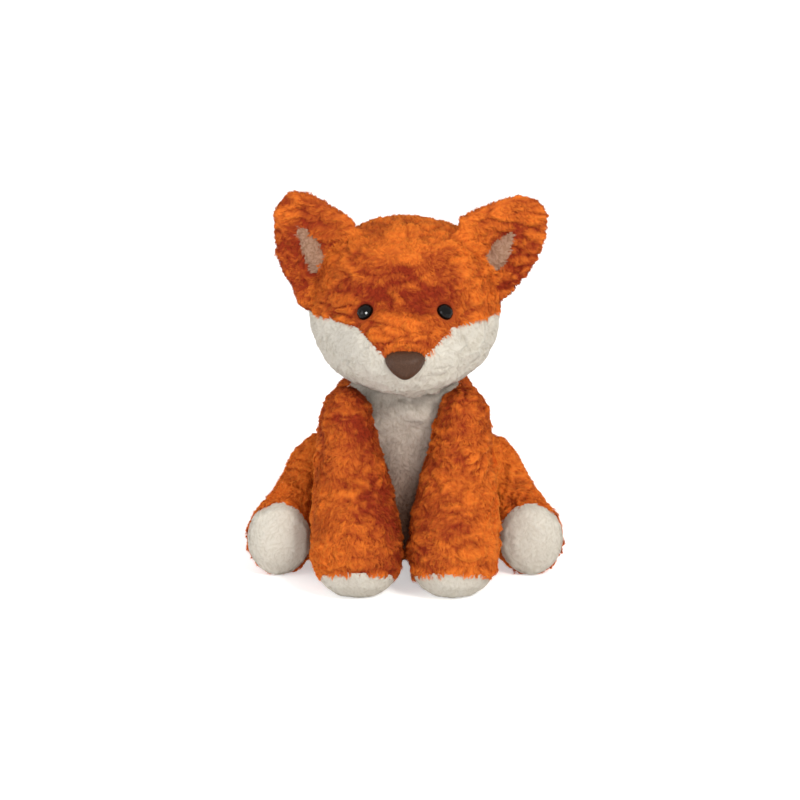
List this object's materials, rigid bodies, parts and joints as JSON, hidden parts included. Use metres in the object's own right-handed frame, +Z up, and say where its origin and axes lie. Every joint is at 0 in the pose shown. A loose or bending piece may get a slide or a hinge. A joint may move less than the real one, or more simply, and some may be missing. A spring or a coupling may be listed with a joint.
{
  "type": "plush fox",
  "caption": "Sitting long-pile plush fox with upright ears, cream cheeks, chest and soles, moulded eyes and nose, and a soft tail.",
  "frame": {"origin": "middle of the flat of the seat, on the surface the fox sits on", "axes": "+Z up, the fox faces -Y, and its own left is +X"},
  "size_m": [0.2076, 0.2602, 0.2512],
  "materials": {
    "orange_pile": "long tufted plush pile, matt with a soft sheen",
    "cream_pile": "dense short plush pile, matt",
    "beige_short_pile": "short plush pile, matt",
    "black_moulded": "polished",
    "brown_moulded": "satin",
    "white_moulded": "matt",
    "polyester_fibre": "loose fibre",
    "pouch_cotton": "plain weave"
  },
  "bodies": {
    "torso": {"torso_skin": "orange_pile", "chest_panel": "cream_pile", "torso_stuffing": "polyester_fibre", "seat_pellet_pouch": "pouch_cotton"},
    "head": {"head_crown_skin": "orange_pile", "cheek_panel": "cream_pile", "head_stuffing": "polyester_fibre", "nose": "brown_moulded", "nose_washer": "white_moulded", "eye_left": "black_moulded", "eye_right": "black_moulded", "eye_washer_left": "white_moulded", "eye_washer_right": "white_moulded"},
    "tail": {"tail_skin": "orange_pile", "tail_tip": "cream_pile", "tail_stuffing": "polyester_fibre"},
    "ear_left": {"ear_left": "orange_pile", "ear_lining_left": "beige_short_pile"},
    "front_leg_left": {"front_leg_skin_left": "orange_pile", "front_paw_pad_left": "cream_pile", "front_leg_stuffing_left": "polyester_fibre"},
    "hind_leg_left": {"hind_leg_skin_left": "orange_pile", "hind_foot_pad_left": "cream_pile", "hind_leg_stuffing_left": "polyester_fibre"},
    "ear_right": {"ear_right": "orange_pile", "ear_lining_right": "beige_short_pile"},
    "front_leg_right": {"front_leg_skin_right": "orange_pile", "front_paw_pad_right": "cream_pile", "front_leg_stuffing_right": "polyester_fibre"},
    "hind_leg_right": {"hind_leg_skin_right": "orange_pile", "hind_foot_pad_right": "cream_pile", "hind_leg_stuffing_right": "polyester_fibre"}
  },
  "joints": [
    {"name": "head_turn", "type": "hinge", "parent": "torso", "child": "head", "pos_m": [0, -0.012, 0.1345], "axis": [0, 0, 1], "range_deg": [-20, 20], "stiffness_Nm_per_rad": 0.05},
    {"name": "tail_sway", "type": "hinge", "parent": "torso", "child": "tail", "pos_m": [0, 0.057, 0.025], "axis": [0, 0, 1], "range_deg": [-25, 25], "stiffness_Nm_per_rad": 0.01},
    {"name": "ear_fold_left", "type": "hinge", "parent": "head", "child": "ear_left", "pos_m": [0.0485, -0.018, 0.2015], "axis": [-0.5, 0, 0.866], "range_deg": [-10, 10], "stiffness_Nm_per_rad": 0.02},
    {"name": "front_leg_lift_left", "type": "hinge", "parent": "torso", "child": "front_leg_left", "pos_m": [0.038, -0.054, 0.1025], "axis": [-1, 0, 0], "range_deg": [0, 50], "stiffness_Nm_per_rad": 0.03},
    {"name": "hind_leg_lift_left", "type": "hinge", "parent": "torso", "child": "hind_leg_left", "pos_m": [0.0525, -0.006, 0.0435], "axis": [-1, 0, 0], "range_deg": [0, 30], "stiffness_Nm_per_rad": 0.04},
    {"name": "ear_fold_right", "type": "hinge", "parent": "head", "child": "ear_right", "pos_m": [-0.0485, -0.018, 0.2015], "axis": [0.5, 0, 0.866], "range_deg": [-10, 10], "stiffness_Nm_per_rad": 0.02},
    {"name": "front_leg_lift_right", "type": "hinge", "parent": "torso", "child": "front_leg_right", "pos_m": [-0.038, -0.054, 0.1025], "axis": [-1, 0, 0], "range_deg": [0, 50], "stiffness_Nm_per_rad": 0.03},
    {"name": "hind_leg_lift_right", "type": "hinge", "parent": "torso", "child": "hind_leg_right", "pos_m": [-0.0525, -0.006, 0.0435], "axis": [-1, 0, 0], "range_deg": [0, 30], "stiffness_Nm_per_rad": 0.04}
  ]
}
